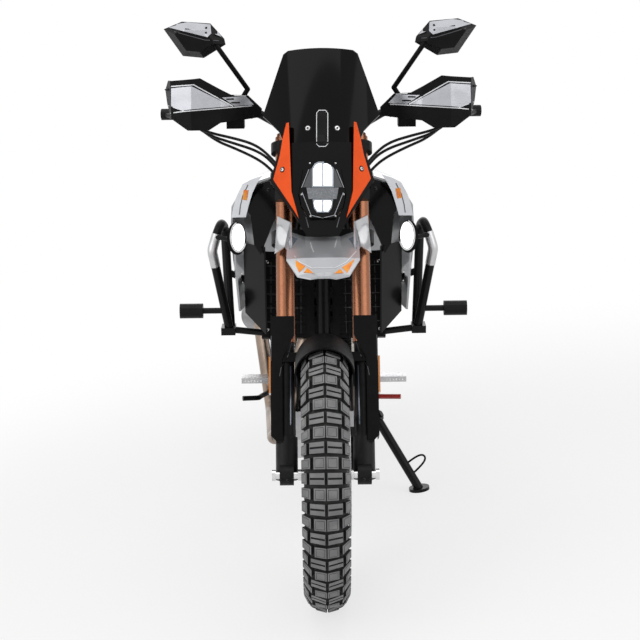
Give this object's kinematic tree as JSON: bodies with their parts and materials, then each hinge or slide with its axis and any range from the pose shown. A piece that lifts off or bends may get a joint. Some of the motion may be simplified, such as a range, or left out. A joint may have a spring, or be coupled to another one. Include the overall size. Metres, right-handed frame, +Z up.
{
  "type": "adventure motorcycle",
  "caption": "Adventure motorcycle leaning on its side stand, with wire wheels, high beak, hand shields, screen and crash bars.",
  "frame": {"origin": "middle of the bounding box on the ground the machine stands on", "axes": "+Z up, -Y forward, +X to the rider's left; the machine leans to +X on its side stand"},
  "size_m": [0.8802, 2.1218, 1.4451],
  "materials": {
    "tyre": "tyre",
    "wheel_black": "painted metal",
    "brake_steel": "brushed steel",
    "chain_steel": "brushed steel",
    "cast_grey": "painted metal",
    "fork_copper": "painted metal",
    "bright_steel": "chrome",
    "black_plastic": "matte plastic",
    "amber": "gloss plastic",
    "black_steel": "painted metal",
    "grip_rubber": "rubber",
    "grey_plastic": "matte plastic",
    "smoke_screen": "gloss plastic",
    "black_gloss": "gloss plastic",
    "orange_paint": "painted metal",
    "lamp_glass": "gloss plastic",
    "silver_paint": "painted metal",
    "engine_cover": "painted metal",
    "radiator_black": "painted metal",
    "pipe_steel": "brushed steel",
    "silencer_steel": "brushed steel",
    "seat_vinyl": "leather",
    "red_lens": "gloss plastic",
    "spring_paint": "painted metal",
    "bright_aluminium": "aluminium",
    "red_paint": "painted metal"
  },
  "bodies": {
    "chassis": {"frame": "black_steel", "swingarm": "cast_grey", "axles": "bright_steel", "crankcase": "cast_grey", "clutch_cover": "engine_cover", "generator_cover": "engine_cover", "cylinder": "cast_grey", "radiators": "radiator_black", "exhaust_pipe": "pipe_steel", "silencer": "silencer_steel", "fuel_tank": "black_gloss", "side_panels": "silver_paint", "shrouds": "black_gloss", "seat": "seat_vinyl", "tail_cowl": "silver_paint", "tail_lamp": "red_lens", "rear_fender": "black_plastic", "shock_absorber": "spring_paint", "chain": "chain_steel", "front_sprocket": "chain_steel", "skid_plate": "bright_aluminium", "crash_bars": "black_steel", "fog_lamps": "lamp_glass", "foot_pegs": "bright_aluminium", "gear_lever": "red_paint", "brake_pedal": "black_steel", "luggage_rack": "black_steel", "rear_caliper": "cast_grey"},
    "steering": {"yokes": "cast_grey", "fork_tubes": "fork_copper", "fork_legs": "cast_grey", "front_axle": "bright_steel", "fork_guards": "black_plastic", "fork_reflectors": "amber", "front_fender": "black_plastic", "front_caliper": "cast_grey", "handlebar": "black_steel", "grips": "grip_rubber", "controls": "black_plastic", "handguards": "grey_plastic", "mirrors": "black_plastic", "front_bracket": "black_steel", "screen": "smoke_screen", "cowl": "black_gloss", "cowl_trims": "orange_paint", "headlight": "lamp_glass", "display": "black_gloss", "beak": "silver_paint"},
    "front_wheel": {"front_tyre": "tyre", "front_wheel": "wheel_black", "front_disc": "brake_steel"},
    "rear_wheel": {"rear_tyre": "tyre", "rear_wheel": "wheel_black", "rear_disc": "brake_steel", "rear_sprocket": "chain_steel"},
    "side_stand": {"side_stand": "black_steel"}
  },
  "joints": [
    {"name": "steering", "type": "hinge", "parent": "chassis", "child": "steering", "pos_m": [-0.09866, -0.68413, 0.30793], "axis": [0.1173, 0.4384, 0.8911], "range_deg": [-35, 35]},
    {"name": "front_wheel_spin", "type": "hinge", "parent": "steering", "child": "front_wheel", "pos_m": [-0.0958, -0.72907, 0.32966], "axis": [0.9914, 0, -0.1305], "continuous": true},
    {"name": "rear_wheel_spin", "type": "hinge", "parent": "chassis", "child": "rear_wheel", "pos_m": [-0.09631, 0.69093, 0.3258], "axis": [0.9914, 0, -0.1305], "continuous": true},
    {"name": "side_stand_fold", "type": "hinge", "parent": "chassis", "child": "side_stand", "pos_m": [0.04361, 0.12093, 0.22406], "axis": [0.8598, -0.2775, 0.4287], "range_deg": [0, 99.75]}
  ]
}
